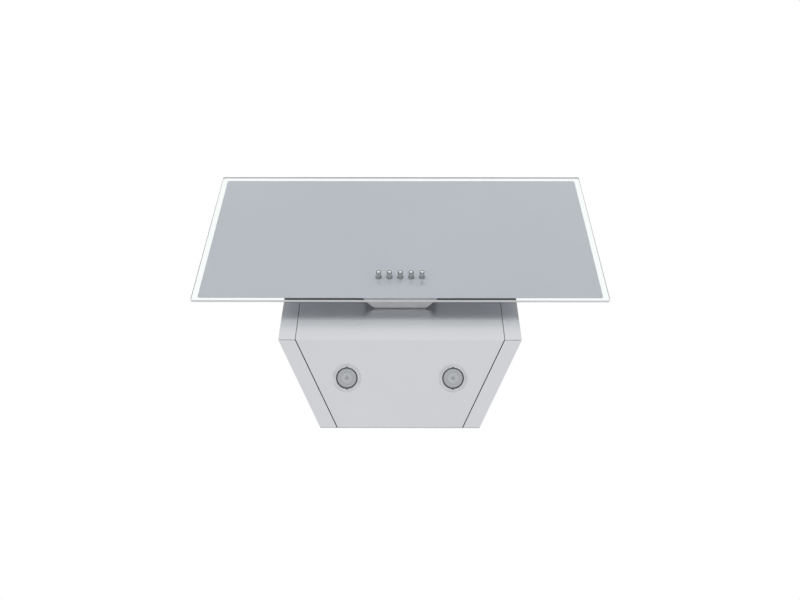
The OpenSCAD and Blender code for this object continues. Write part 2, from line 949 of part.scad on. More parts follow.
// Round collar that the duct slides over, with four stops under the flaps
module duct_collar() {
    stop_w = 8;
    color([0.72, 0.73, 0.74])
        at_duct() {
            difference() {
                rotate_extrude()
                    polygon([[duct_in_r, duct_flange_t], [duct_r, duct_flange_t], [duct_r, duct_h - 1],
                        [duct_in_r + 0.5, duct_h], [duct_in_r, duct_h]]);
                translate([0, 0, flap_up])
                    rotate([0, 90, 0])
                        cylinder(r = flap_pin_r + snug, h = 3 * duct_r, center = true);
            }
            intersection() {
                for (a = [55, 125, 235, 305])
                    rotate([0, 0, a])
                        translate([duct_in_r - 4, -stop_w / 2, duct_flange_t])
                            cube([5, stop_w, flap_up - flap_t / 2 - seat - duct_flange_t]);
                cylinder(r = duct_in_r + 0.1, h = duct_h);
            }
        }
}

module flap_pin() {
    color([0.75, 0.76, 0.78])
        at_duct()
            translate([0, 0, flap_up])
                rotate([0, 90, 0])
                    cylinder(r = flap_pin_r, h = 2 * duct_r, center = true);
}

knuckle_len = 16;
flap_knuckle_r = flap_pin_r + 2;

// Half round flap towards the room, hung on knuckles at the given places along the pin
module flap(knuckles) {
    flap_r = duct_in_r - flap_gap;
    start = flap_knuckle_r + 0.6;
    translate([0, 0, flap_up])
        difference() {
            union() {
                intersection() {
                    translate([0, 0, -flap_t / 2])
                        cylinder(r = flap_r, h = flap_t);
                    translate([-far / 2, -far - start, -flap_t])
                        cube([far, far, 2 * flap_t]);
                }
                for (x = knuckles)
                    translate([x - knuckle_len / 2, 0, 0]) {
                        rotate([0, 90, 0])
                            cylinder(r = flap_knuckle_r, h = knuckle_len);
                        translate([0, -start - 1, -flap_t / 2])
                            cube([knuckle_len, start + 1, flap_t]);
                    }
            }
            rotate([0, 90, 0])
                cylinder(r = flap_pin_r + flap_fit, h = 3 * duct_r, center = true);
        }
}

module flap_front() {
    color([0.22, 0.23, 0.24])
        at_duct()
            flap([-50, 14]);
}

module flap_rear() {
    color([0.22, 0.23, 0.24])
        at_duct()
            rotate([0, 0, 180])
                flap([-50, 14]);
}

junction_mid_y = -58;
junction_wall = 2;

module at_junction() {
    translate([-junction_x, junction_mid_y, top_z])
        children();
}

module junction_box() {
    color([0.2, 0.2, 0.21])
        at_junction()
            difference() {
                translate([-junction_w / 2, -junction_d / 2, 0])
                    cube([junction_w, junction_d, junction_h]);
                translate([-junction_w / 2 + junction_wall, -junction_d / 2 + junction_wall, junction_wall])
                    cube([junction_w - 2 * junction_wall, junction_d - 2 * junction_wall, junction_h]);
                translate([-junction_w / 2, 0, junction_h / 2])
                    rotate([0, 90, 0])
                        cylinder(r = cable_r + 2.5 + snug, h = 20, center = true);
            }
}

module junction_lid() {
    lip = 2;
    color([0.24, 0.24, 0.25])
        at_junction()
            translate([0, 0, junction_h]) {
                translate([-junction_w / 2, -junction_d / 2, 0])
                    cube([junction_w, junction_d, junction_wall]);
                translate([-junction_w / 2 + junction_wall + 0.2,
                    -junction_d / 2 + junction_wall + 0.2, -lip])
                    cube([junction_w - 2 * junction_wall - 0.4, junction_d - 2 * junction_wall - 0.4, lip]);
            }
}

// Cable gland in the outer wall of the junction box
module cable_gland() {
    color([0.15, 0.15, 0.16])
        at_junction()
            translate([-junction_w / 2 + junction_wall + 2, 0, junction_h / 2])
                rotate([0, -90, 0])
                    rotate_extrude()
                        polygon([[cable_r, 0], [cable_r + 2.5, 0], [cable_r + 2.5, junction_wall + 2],
                            [cable_r + 5, junction_wall + 2], [cable_r + 5, junction_wall + 8],
                            [cable_r + 3.5, gland_len], [cable_r, gland_len]]);
}

supply_y = -92;

// Lamp transformer on the base, with two fixing ears
module lamp_transformer() {
    ear = 9;
    color([0.85, 0.85, 0.83])
        translate([0, supply_y, base_z + sheet]) {
            translate([-supply_w / 2, -supply_d / 2, 0])
                cube([supply_w, supply_d, supply_h]);
            difference() {
                translate([-supply_w / 2 - ear, -supply_d / 4, 0])
                    cube([supply_w + 2 * ear, supply_d / 2, 2.5]);
                for (s = [-1, 1])
                    translate([s * (supply_w / 2 + ear / 2), 0, -1])
                        cylinder(r = 1.8, h = 5);
            }
        }
}

// Motor capacitor, stud mounted on the inside of the back plate
module motor_capacitor() {
    color([0.75, 0.76, 0.78])
        translate([screw_dx / 2 - 45, -back_t, base_z + 75])
            rotate([90, 0, 0])
                rotate_extrude()
                    polygon([[0, 0], [cap_r, 0], [cap_r, cap_len - 3], [cap_r - 2, cap_len],
                        [cap_r * 0.4, cap_len], [cap_r * 0.4, cap_len + 3], [0, cap_len + 3]]);
}

hinge_up = front_len - hinge_down;
hinge_depth = hinge_back - glass_gap;           // depth of the hinge pin, negative in front of the body
ear_w = hinge_w * 0.22;

module at_hinges() {
    both_sides()
        on_front(hinge_up, hinge_depth)
            translate([hinge_span / 2, 0, 0])
                children();
}

module across_x(x0, x1) {
    translate([x0, 0, 0])
        rotate([90, 0, 90])
            linear_extrude(x1 - x0)
                children();
}

// Outline of a hinge knuckle with its web to a leaf at distance reach, towards sign
module knuckle_outline(reach, sign) {
    circle(knuckle_r);
    translate([sign > 0 ? 0 : -reach, -knuckle_r])
        square([reach, 2 * knuckle_r]);
}

module hinge_leaves_fixed() {
    color(zinc)
        at_hinges()
            difference() {
                union() {
                    for (s = [-1, 1])
                        across_x(s > 0 ? hinge_w / 2 - ear_w : -hinge_w / 2,
                            s > 0 ? hinge_w / 2 : ear_w - hinge_w / 2)
                            knuckle_outline(-hinge_depth - leaf_t / 2, 1);
                    translate([-hinge_w / 2, -hinge_depth - leaf_t, knuckle_r - fixed_leaf_h])
                        cube([hinge_w, leaf_t, fixed_leaf_h]);
                }
                rotate([0, 90, 0])
                    cylinder(r = hinge_pin_r + snug, h = 2 * hinge_w, center = true);
            }
}

module hinge_leaves_glass() {
    leaf_back = hinge_back - enamel_t;
    half = hinge_w / 2 - ear_w - seat;
    color(zinc)
        at_hinges()
            difference() {
                union() {
                    across_x(-half, half)
                        knuckle_outline(leaf_back - leaf_t / 2, -1);
                    translate([-hinge_w / 2, -leaf_back, knuckle_r - glass_leaf_h])
                        cube([hinge_w, leaf_t, glass_leaf_h]);
                }
                rotate([0, 90, 0])
                    cylinder(r = hinge_pin_r + bearing_fit, h = 2 * hinge_w, center = true);
            }
}

module hinge_pins() {
    head_t = 1.5;
    color([0.75, 0.76, 0.78])
        at_hinges()
            rotate([0, 90, 0]) {
                cylinder(r = hinge_pin_r, h = hinge_w + 1, center = true);
                translate([0, 0, hinge_w / 2])
                    cylinder(r = knuckle_r - 1, h = head_t);
            }
}

module at_catches(depth) {
    both_sides()
        on_front(catch_up, depth)
            translate([catch_span / 2, 0, 0])
                rotate([-90, 0, 0])
                    children();
}

module catch_magnets() {
    color([0.25, 0.25, 0.27])
        at_catches(-magnet_t)
            cylinder(r = magnet_r, h = magnet_t);
}

// Posts on the back of the glass, with a steel face that meets the magnet
module catch_posts() {
    post_len = glass_gap - enamel_t - magnet_t - seat;
    color(zinc)
        at_catches(enamel_t - glass_gap)
            rotate_extrude()
                polygon([[0, 0], [post_r + 3, 0], [post_r + 3, 2], [post_r, 3.5], [post_r, post_len - 1],
                    [post_r - 1, post_len], [0, post_len]]);
}

module glass_outline(inset, r) {
    w = glass_w - 2 * inset;
    h = glass_h - 2 * inset;
    square([w - 2 * r, h], center = true);
    square([w, h - 2 * r], center = true);
    for (x = [-1, 1], y = [-1, 1])
        translate([x * (w / 2 - r), y * (h / 2 - r)])
            circle(r);
}

// Places a plate of the glass, t thick, with its back at the given depth
module glass_plate(back, t) {
    on_front(glass_up + glass_h / 2, back)
        rotate([90, 0, 0])
            linear_extrude(t)
                children();
}

bush_r = button_r + button_fit + bush_wall;
button_mid = button_up - glass_h / 2;           // height of the buttons from the middle of the glass

module button_row() {
    for (k = [0:button_count - 1])
        translate([(k - (button_count - 1) / 2) * button_pitch, button_mid])
            children();
}

module glass_panel() {
    color([0.72, 0.80, 0.80, 0.45])
        glass_plate(-glass_gap, glass_t)
            difference() {
                glass_outline(0, glass_corner_r);
                button_row()
                    circle(bush_r + snug);
            }
}

// Fired enamel on the back of the glass, which leaves a clear border
module glass_enamel() {
    color([0.72, 0.745, 0.76])
        glass_plate(enamel_t - glass_gap, enamel_t)
            difference() {
                glass_outline(clear_border, enamel_corner_r);
                button_row()
                    circle(bush_r + snug);
            }
}

box_deep = glass_gap - enamel_t - box_gap;
block_w = (button_count - 1) * button_pitch + 2 * block_end;
box_w = block_w + 2 * (box_spare + box_wall + box_bevel);

// Section of the switch box across its width: wide at the glass, with beveled sides
module box_outline(i) {
    w = box_w / 2 - i;
    b = box_bevel - i * (sqrt(2) - 1);
    polygon([[-w, 0], [w, 0], [w, box_deep - i - b], [w - b, box_deep - i], [b - w, box_deep - i],
        [-w, box_deep - i - b]]);
}

module at_box() {
    on_front(glass_up + box_up, enamel_t - glass_gap)
        children();
}

module switch_box() {
    color([0.82, 0.83, 0.84])
        at_box()
            difference() {
                linear_extrude(box_h)
                    box_outline(0);
                translate([0, -1, box_wall])
                    linear_extrude(box_h - 2 * box_wall)
                        box_outline(box_wall);
                translate([0, 0, box_wall])
                    linear_extrude(box_h - 2 * box_wall)
                        box_outline(box_wall);
            }
}

// Front and back of the switch block, as depths behind the front face of the body
block_front = button_travel + 4 - glass_gap;
block_back = -box_gap - box_wall;
stem_r = button_r * 0.5;
stop_r = bush_r + 0.8;
stop_t = 1.5;

module on_buttons() {
    on_front(glass_up + button_up)
        children();
}

// Switch block with a guide hole for the stem of each button
module switch_block() {
    deep = block_back - block_front;
    color([0.12, 0.12, 0.13])
        on_buttons()
            difference() {
                translate([-block_w / 2, block_front, -block_h / 2])
                    cube([block_w, deep, block_h]);
                for (k = [0:button_count - 1])
                    translate([(k - (button_count - 1) / 2) * button_pitch, block_front - 1, 0])
                        rotate([-90, 0, 0])
                            cylinder(r = stem_r + button_fit, h = deep - 2);
            }
}

// Bushes that line the holes in the glass
module button_bushes() {
    color([0.55, 0.56, 0.58])
        on_buttons()
            for (k = [0:button_count - 1])
                translate([(k - (button_count - 1) / 2) * button_pitch, -glass_gap - glass_t, 0])
                    rotate([-90, 0, 0])
                        rotate_extrude()
                            translate([button_r + button_fit, -0.4])
                                square([bush_wall, glass_t + enamel_t + 0.4]);
}

// One push button: domed cap, stop flange behind the glass and stem in the switch block
module button(k) {
    back_face = glass_t + enamel_t + seat;
    stem_end = glass_t + block_back - 4 - button_travel + glass_gap;
    color([0.86, 0.87, 0.89])
        on_buttons()
            translate([(k - (button_count + 1) / 2) * button_pitch, -glass_gap - glass_t, 0])
                rotate([-90, 0, 0])
                    rotate_extrude()
                        polygon([[0, -button_out], [button_r - 1.4, -button_out],
                            [button_r - 1, 0.35 - button_out],
                            [button_r - 0.4, 0.35 - button_out], [button_r, 0.9 - button_out],
                            [button_r, back_face], [stop_r, back_face], [stop_r, back_face + stop_t],
                            [stem_r, back_face + stop_t], [stem_r, stem_end], [0, stem_end]]);
}

module button_1() { button(1); }
module button_2() { button(2); }
module button_3() { button(3); }
module button_4() { button(4); }
module button_5() { button(5); }

module blower_cheek_right() { blower_cheek(); }
module blower_cheek_left() { mirror([1, 0, 0]) blower_cheek(); }

module side_panel_right() { side_panel(); }
module side_panel_left() { mirror([1, 0, 0]) side_panel(); }

side_panel_left();
side_panel_right();
back_panel();
top_panel();
front_panel();
panel_screws();
lamp_bezels();
lamp_lenses();
lamp_housings();
lamp_reflectors();
lamp_bulbs();
lamp_sockets();
lamp_springs();
filter_frame();
filter_mesh();
filter_latch();
blower_wrap();
blower_cheek_left();
blower_cheek_right();
blower_rim();
fan_disc();
fan_rims();
fan_blades();
fan_shaft();
motor_body();
motor_bracket();
duct_flange();
duct_collar();
flap_pin();
flap_front();
flap_rear();
junction_box();
junction_lid();
cable_gland();
lamp_transformer();
motor_capacitor();
hinge_leaves_fixed();
hinge_pins();
catch_magnets();
glass_panel();
glass_enamel();
hinge_leaves_glass();
catch_posts();
switch_box();
switch_block();
button_bushes();
button_1();
button_2();
button_3();
button_4();
button_5();
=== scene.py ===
import math

import bmesh
import bpy
from mathutils import Matrix, Vector


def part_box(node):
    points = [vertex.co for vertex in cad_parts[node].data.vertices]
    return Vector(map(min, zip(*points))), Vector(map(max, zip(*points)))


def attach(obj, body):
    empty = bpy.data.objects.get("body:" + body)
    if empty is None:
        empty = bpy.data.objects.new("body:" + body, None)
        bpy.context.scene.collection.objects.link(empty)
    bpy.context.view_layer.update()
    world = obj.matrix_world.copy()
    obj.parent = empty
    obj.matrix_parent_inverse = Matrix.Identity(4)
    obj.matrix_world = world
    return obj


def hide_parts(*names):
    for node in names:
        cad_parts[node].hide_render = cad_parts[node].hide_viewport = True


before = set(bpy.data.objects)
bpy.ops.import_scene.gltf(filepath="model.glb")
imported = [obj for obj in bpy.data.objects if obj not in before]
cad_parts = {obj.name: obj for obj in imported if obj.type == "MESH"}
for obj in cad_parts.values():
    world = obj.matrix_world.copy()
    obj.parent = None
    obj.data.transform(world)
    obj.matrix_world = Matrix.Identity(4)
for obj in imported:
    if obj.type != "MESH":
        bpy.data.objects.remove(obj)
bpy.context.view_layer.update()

# Metres in a millimetre
MM = 0.001

# Sizes from the part's source, in metres: Y = 0 is the wall, -Y the room, Z is up
LEAN = math.radians(32)
BASE_Z = -0.205
TOP_Z = 0.205
BASE_D = 0.188
GLASS_T = 0.006
GLASS_GAP = 0.030
GLASS_UP = 0.088
GLASS_FACE = -GLASS_GAP - GLASS_T
BUTTONS = 5
BUTTON_UP = GLASS_UP + 0.086
BUTTON_PITCH = 0.024
BOX_UP = GLASS_UP + 0.017
BOX_GAP = 0.004
LAMP_X = 0.1115
LAMP_Y = -0.107
DUCT_Y = -0.125
DUCT_R = 0.075
DUCT_RING = 0.018
DUCT_RING_T = 0.002
HINGE_X = 0.190
HINGE_SCREW_UP = 0.458
HINGE_SCREW_APART = 0.018
HINGE_LEAF_T = 0.002

# Sizes of the dressed pieces, in metres
GLASS_EASE = 0.0014
COAT_GAP = 0.00005
MARK_DROP = 0.0215
MARK_GAP = 0.00003
BAR_PITCH = 0.0022
PAD_GAP = 0.0003
PAD_TALL = 0.010
PAD_WIDE = 0.114
PAD_EASE = 0.0009
# Place and half width of the strip across the front, a dark band of painted shade
STRIP_UP = 0.1268
STRIP_HALF = 0.2535
LID_SCREW_INSET = 0.0065

# Radii of the lamps, in millimetres
LENS_R = 20.4
GROOVE_R = 22.8

# Faces under BROAD square metres are smooth where they meet at less than SOFT_ANGLE
SOFT_ANGLE = math.radians(28)
BROAD = 0.0008

# Painted light: a glow on the rear face of the enamel, as a strength of emission, that lightens the
# shaded gap between the pane and the body
COAT_BACK_PAINTED_GLOW = 0.21

# Level of the pale room for rays that aren't seen, reflected or passed on
ROOM_LEVEL = 0.8

# Sockets of the Mix node, by number because its colour sockets share their names with others
MIX_SHARE = 0
MIX_FIRST = 6
MIX_SECOND = 7
MIX_RESULT = 2

# Scale of the brush noise along its lines and across them
BRUSH_ALONG = 8
BRUSH_ACROSS = 1500

# Tone of the frosted lens at shares of its radius: painted light in soft rings, a painted shade of the
# bulb in the middle and painted reflection round it
LENS_PAINTED_LIGHT_TONES = [
    (0.0, 0.26), (0.07, 0.30), (0.18, 0.46), (0.40, 0.53), (0.60, 0.45), (0.80, 0.47), (1.0, 0.38),
]


def front(x, up, depth):
    """Frame of the sloped front: local Y runs into the body and local Z up the slope."""
    return (
        Matrix.Translation((0, -BASE_D, BASE_Z))
        @ Matrix.Rotation(LEAN, 4, "X")
        @ Matrix.Translation((x, depth, up))
    )


def into_front(x, up, depth):
    """Frame on the sloped front whose local Z points out into the room."""
    return front(x, up, depth) @ Matrix.Rotation(math.radians(90), 4, "X")


def inward():
    """Unit vector square to the glass, into the body."""
    return (front(0, 0, 0).to_3x3() @ Vector((0, 1, 0))).normalized()


def button_x(number):
    """Place along the glass of one of the buttons, which are counted from 1."""
    return (number - (BUTTONS + 1) / 2) * BUTTON_PITCH


# Tools for finishes


def finish(name, colour, metallic=0.0, roughness=0.5, **more):
    """A new material. Further sockets are named with _ for a space."""
    material = bpy.data.materials.new(name)
    material.use_nodes = True
    shader = shader_of(material)
    shader.inputs["Base Color"].default_value = (*colour, 1)
    shader.inputs["Metallic"].default_value = metallic
    shader.inputs["Roughness"].default_value = roughness
    for socket, value in more.items():
        shader.inputs[socket.replace("_", " ")].default_value = value
    return material


def shader_of(material):
    return material.node_tree.nodes["Principled BSDF"]


def node(material, kind, **values):
    made = material.node_tree.nodes.new(kind)
    for key, value in values.items():
        setattr(made, key, value)
    return made


def join(material, source, target):
    material.node_tree.links.new(source, target)


def place_on(material, stretch=(1, 1, 1), tilt=(0, 0, 0)):
    """Object coordinates, stretched and tilted."""
    coords = node(material, "ShaderNodeTexCoord")
    mapping = node(material, "ShaderNodeMapping")
    mapping.inputs["Scale"].default_value = stretch
    mapping.inputs["Rotation"].default_value = tilt
    join(material, coords.outputs["Object"], mapping.inputs["Vector"])
    return mapping.outputs["Vector"]


def noise(material, scale, detail=3.0, stretch=(1, 1, 1), tilt=(0, 0, 0)):
    made = node(material, "ShaderNodeTexNoise")
    made.inputs["Scale"].default_value = scale
    made.inputs["Detail"].default_value = detail
    join(material, place_on(material, stretch, tilt), made.inputs["Vector"])
    return made.outputs["Fac"]


def cells(material, scale):
    made = node(material, "ShaderNodeTexVoronoi")
    made.inputs["Scale"].default_value = scale
    join(material, place_on(material), made.inputs["Vector"])
    return made


def spread(material, source, low, high, start=0.3, end=0.7):
    """Stretches the source, from start to end, over low to high."""
    made = node(material, "ShaderNodeMapRange")
    made.inputs["From Min"].default_value = start
    made.inputs["From Max"].default_value = end
    made.inputs["To Min"].default_value = low
    made.inputs["To Max"].default_value = high
    join(material, source, made.inputs["Value"])
    return made.outputs["Result"]


def vary_colour(material, source, dark, light):
    made = node(material, "ShaderNodeMix", data_type="RGBA")
    made.inputs[MIX_FIRST].default_value = (*dark, 1)
    made.inputs[MIX_SECOND].default_value = (*light, 1)
    join(material, source, made.inputs[MIX_SHARE])
    join(material, made.outputs[MIX_RESULT], shader_of(material).inputs["Base Color"])


def vary_roughness(material, source, low, high):
    join(material, spread(material, source, low, high), shader_of(material).inputs["Roughness"])


def raise_by(material, source, strength, distance):
    """Raises the surface by the source, on top of what raises it already."""
    made = node(material, "ShaderNodeBump")
    made.inputs["Strength"].default_value = strength
    made.inputs["Distance"].default_value = distance
    join(material, source, made.inputs["Height"])
    earlier = shader_of(material).inputs["Normal"]
    if earlier.is_linked:
        join(material, earlier.links[0].from_socket, made.inputs["Normal"])
    join(material, made.outputs["Normal"], earlier)


def shade(colour, share):
    return tuple(min(c * share, 1.0) for c in colour)


# Finishes


def satin_steel(name, colour, grain, roughness):
    """Stainless sheet, brushed along X or up the slope as grain says, with faint wiping marks."""
    made = finish(name, colour, metallic=1.0)
    stretch = (BRUSH_ALONG, BRUSH_ACROSS, BRUSH_ACROSS)
    tilt = (0, 0, 0)
    if grain == "slope":
        stretch = (BRUSH_ACROSS, BRUSH_ACROSS, BRUSH_ALONG)
        tilt = (-LEAN, 0, 0)
    lines = noise(made, scale=1.0, detail=2.0, stretch=stretch, tilt=tilt)
    marks = noise(made, scale=7.0, detail=4.0)
    vary_colour(made, spread(made, marks, 0, 1), shade(colour, 0.985), shade(colour, 1.012))
    vary_roughness(made, lines, *roughness)
    raise_by(made, lines, strength=0.025, distance=0.00002)
    return made


def zinc_sheet(name, colour):
    """Galvanised sheet with its spangle: crystals that differ a little in tone and gloss."""
    made = finish(name, colour, metallic=1.0)
    spangle = cells(made, scale=135.0)
    tone = node(made, "ShaderNodeSeparateColor")
    join(made, spangle.outputs["Color"], tone.inputs["Color"])
    vary_colour(made, tone.outputs["Red"], shade(colour, 0.93), shade(colour, 1.06))
    vary_roughness(made, tone.outputs["Green"], low=0.30, high=0.46)
    raise_by(made, noise(made, scale=260.0), strength=0.15, distance=0.00005)
    return made


def plated_steel(name, colour, roughness=(0.18, 0.32)):
    """Plated or blasted metal with a fine even grain."""
    made = finish(name, colour, metallic=1.0)
    grain = noise(made, scale=420.0, detail=4.0)
    cloud = spread(made, noise(made, scale=60.0), 0, 1)
    vary_colour(made, cloud, shade(colour, 0.9), shade(colour, 1.05))
    vary_roughness(made, grain, *roughness)
    raise_by(made, grain, strength=0.12, distance=0.00003)
    return made


def turned_metal(name, colour, roughness=(0.16, 0.26)):
    """Metallised cap of a button, with faint marks of its tool."""
    made = finish(name, colour, metallic=1.0)
    marks = noise(made, scale=1500.0, detail=2.0)
    cloud = spread(made, noise(made, scale=120.0), 0, 1)
    vary_colour(made, cloud, shade(colour, 0.94), shade(colour, 1.04))
    vary_roughness(made, marks, *roughness)
    raise_by(made, marks, strength=0.06, distance=0.00001)
    return made


def moulded(name, colour, roughness=(0.38, 0.52), grain=900.0):
    """Moulded plastic with the fine spark texture of its tool and a little unevenness in gloss."""
    made = finish(name, colour)
    sparks = noise(made, scale=grain, detail=2.0)
    cloud = spread(made, noise(made, scale=30.0), 0, 1)
    vary_colour(made, cloud, shade(colour, 0.9), shade(colour, 1.08))
    vary_roughness(made, sparks, *roughness)
    raise_by(made, sparks, strength=0.25, distance=0.00004)
    return made


def clear_glass():
    """Clear glass, whose index is low to keep its reflections as weak as in the photograph."""
    made = finish(
        "clear_glass", (0.94, 0.972, 0.97), roughness=0.0, IOR=1.22, Transmission_Weight=1.0
    )
    haze = spread(made, noise(made, scale=3.0, detail=2.0), 0, 1)
    vary_colour(made, haze, (0.938, 0.972, 0.966), (0.948, 0.980, 0.974))
    return made


def ground_edge(name, colour):
    """Ground and polished edge of the pane, which passes on only a little light."""
    made = finish(name, colour, roughness=0.15, IOR=1.5, Transmission_Weight=0.08)
    vary_roughness(made, noise(made, scale=300.0), low=0.10, high=0.22)
    return made


def enamel_coat(name, colour, roughness):
    """Fired enamel: even, with the faintest cloud of the screen print."""
    made = finish(name, colour)
    cloud = spread(made, noise(made, scale=2.2), 0, 1)
    vary_colour(made, cloud, shade(colour, 0.985), shade(colour, 1.012))
    vary_roughness(made, noise(made, scale=500.0), *roughness)
    return made


def rear_enamel():
    """Rear face of the enamel, with a painted glow: an emission that lightens the shaded gap behind the
    pane.
    """
    made = enamel_coat("enamel_rear_face", (0.28, 0.285, 0.292), (0.5, 0.62))
    shader_of(made).inputs["Emission Color"].default_value = (0.9, 0.95, 1.0, 1)
    shader_of(made).inputs["Emission Strength"].default_value = COAT_BACK_PAINTED_GLOW
    return made


def reach_from_lamp(material):
    """Distance from the axis of the nearer lamp, in metres, without regard to height."""
    coords = node(material, "ShaderNodeTexCoord")
    parts = node(material, "ShaderNodeSeparateXYZ")
    join(material, coords.outputs["Object"], parts.inputs["Vector"])
    side = node(material, "ShaderNodeMath", operation="ABSOLUTE")
    join(material, parts.outputs["X"], side.inputs[0])
    folded = node(material, "ShaderNodeCombineXYZ")
    join(material, side.outputs[0], folded.inputs["X"])
    join(material, parts.outputs["Y"], folded.inputs["Y"])
    reach = node(material, "ShaderNodeVectorMath", operation="DISTANCE")
    reach.inputs[1].default_value = (LAMP_X, LAMP_Y, 0)
    join(material, folded.outputs["Vector"], reach.inputs[0])
    return reach.outputs["Value"]


def frosted_lens():
    """Frosted glass with painted light in soft rings round the axis of each lamp: a painted shade of
    the bulb in the middle and painted reflection round it.
    """
    made = finish("frosted_lens", (0.40, 0.42, 0.45))
    reach = reach_from_lamp(made)
    ramp = node(made, "ShaderNodeValToRGB")
    join(made, spread(made, reach, 0, 1, start=0, end=LENS_R * MM), ramp.inputs["Fac"])
    ramp.color_ramp.interpolation = "EASE"
    stops = ramp.color_ramp.elements
    for share, tone in LENS_PAINTED_LIGHT_TONES[1:-1]:
        stops.new(share)
    for stop, (share, tone) in zip(stops, LENS_PAINTED_LIGHT_TONES):
        stop.position = share
        stop.color = (tone * 0.97, tone, tone * 1.05, 1)
    join(made, ramp.outputs["Color"], shader_of(made).inputs["Base Color"])
    vary_roughness(made, noise(made, scale=700.0), low=0.24, high=0.36)
    raise_by(made, noise(made, scale=1200.0), strength=0.2, distance=0.00003)
    return made


def lamp_bulb():
    """Clear bulb glass."""
    made = finish("bulb_glass", (0.95, 0.96, 0.96), roughness=0.02, IOR=1.5, Transmission_Weight=0.9)
    vary_roughness(made, noise(made, scale=90.0), low=0.01, high=0.05)
    return made


STEEL = (0.690, 0.697, 0.722)
ZINC = (0.46, 0.48, 0.50)

base_steel = satin_steel("satin_steel_front_sheet", STEEL, "x", (0.28, 0.31))
side_steel = satin_steel("satin_steel_sides", shade(STEEL, 1.02), "slope", (0.28, 0.31))
trim_steel = plated_steel("satin_steel_trim", (0.61, 0.62, 0.64), (0.22, 0.34))
galvanised = zinc_sheet("galvanised_sheet", ZINC)
bright_zinc = plated_steel("bright_zinc_plate", (0.56, 0.57, 0.59))
spring_steel = plated_steel("spring_steel", (0.36, 0.36, 0.38))
blackened = plated_steel("blackened_steel", (0.06, 0.06, 0.065), (0.30, 0.45))
reflector_metal = plated_steel("reflector_aluminium", (0.86, 0.87, 0.88), (0.06, 0.14))
filter_metal = satin_steel("filter_aluminium", (0.56, 0.57, 0.58), "x", (0.30, 0.45))
black_plastic = moulded("black_plastic", (0.022, 0.022, 0.024))
dark_plastic = moulded("dark_grey_plastic", (0.05, 0.052, 0.056))
grey_plastic = moulded("light_grey_plastic", (0.56, 0.57, 0.59))
white_plastic = moulded("warm_white_plastic", (0.74, 0.73, 0.69))
motor_paint = moulded("motor_enamel_paint", (0.035, 0.038, 0.043), (0.25, 0.4), 300.0)
ceramic = moulded("glazed_ceramic", (0.82, 0.80, 0.74), (0.12, 0.2), 120.0)
glass = clear_glass()
glass_edge = ground_edge("polished_glass_edge", (0.45, 0.47, 0.48))
# A lighter copy of the edge finish for the lower edge of the pane: a painted highlight.
glass_edge_low_painted_highlight = ground_edge("lower_glass_edge_painted_highlight", (0.74, 0.765, 0.775))
enamel_front = enamel_coat("enamel_seen_through_glass", (0.738, 0.745, 0.808), (0.45, 0.55))
enamel_back = rear_enamel()
lens_glass = frosted_lens()
bulb_glass = lamp_bulb()
button_face = turned_metal("button_face_metallised", (0.74, 0.745, 0.755))
# A darker copy of the cap's metal for its side: painted shade.
button_side_painted_shade = turned_metal("button_side_metal_painted_shade", (0.67, 0.675, 0.685), (0.24, 0.34))
bush_plastic = moulded("button_bush_grey", (0.31, 0.315, 0.33))
# Near black for the groove and the top of the rim of each cap: painted shade.
groove_painted_shade = moulded("button_groove_painted_shade", (0.012, 0.012, 0.013))
print_ink = moulded("printed_mark", (0.36, 0.37, 0.385), (0.5, 0.6))
# Grey of the foam pad under the switch box: painted shade for the soft shade there.
foam = moulded("grey_foam_painted_shade", (0.40, 0.405, 0.41), (0.8, 0.9), 700.0)
# Black rubber of the lamp gaskets, and the painted shade of the strip across the front.
rubber = moulded("black_rubber_and_painted_shade", (0.045, 0.046, 0.048), (0.55, 0.7), 500.0)

NODE_FINISH = {
    "side_panel_left": side_steel,
    "side_panel_right": side_steel,
    "front_panel": base_steel,
    "back_panel": galvanised,
    "top_panel": galvanised,
    "panel_screws": blackened,
    "lamp_bezels": trim_steel,
    "lamp_lenses": lens_glass,
    "lamp_housings": black_plastic,
    "lamp_reflectors": reflector_metal,
    "lamp_bulbs": bulb_glass,
    "lamp_sockets": ceramic,
    "lamp_springs": spring_steel,
    "filter_frame": filter_metal,
    "filter_mesh": filter_metal,
    "filter_latch": black_plastic,
    "blower_wrap": galvanised,
    "blower_cheek_left": galvanised,
    "blower_cheek_right": galvanised,
    "blower_rim": bright_zinc,
    "duct_flange": bright_zinc,
    "fan_disc": galvanised,
    "fan_rims": galvanised,
    "fan_blades": galvanised,
    "fan_shaft": bright_zinc,
    "motor_body": motor_paint,
    "motor_bracket": bright_zinc,
    "duct_collar": galvanised,
    "flap_pin": bright_zinc,
    "flap_front": dark_plastic,
    "flap_rear": dark_plastic,
    "junction_box": black_plastic,
    "junction_lid": dark_plastic,
    "cable_gland": black_plastic,
    "lamp_transformer": white_plastic,
    "motor_capacitor": reflector_metal,
    "hinge_leaves_fixed": bright_zinc,
    "hinge_pins": bright_zinc,
    "catch_magnets": blackened,
    "glass_panel": glass,
    "glass_enamel": enamel_front,
    "hinge_leaves_glass": bright_zinc,
    "catch_posts": bright_zinc,
    "switch_box": grey_plastic,
    "switch_block": black_plastic,
    "button_bushes": bush_plastic,
}
for number in range(1, BUTTONS + 1):
    NODE_FINISH[f"button_{number}"] = button_face
for name, material in NODE_FINISH.items():
    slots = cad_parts[name].data.materials
    for index in range(len(slots)):
        slots[index] = material


# Tools for shapes


def soften(bm):
    """Smooth shading that keeps broad flat faces flat and sharp edges crisp."""
    for face in bm.faces:
        face.smooth = face.calc_area() < BROAD
    for edge in bm.edges:
        level = all(face.smooth for face in edge.link_faces)
        edge.smooth = level and len(edge.link_faces) == 2 and edge.calc_face_angle(0) < SOFT_ANGLE


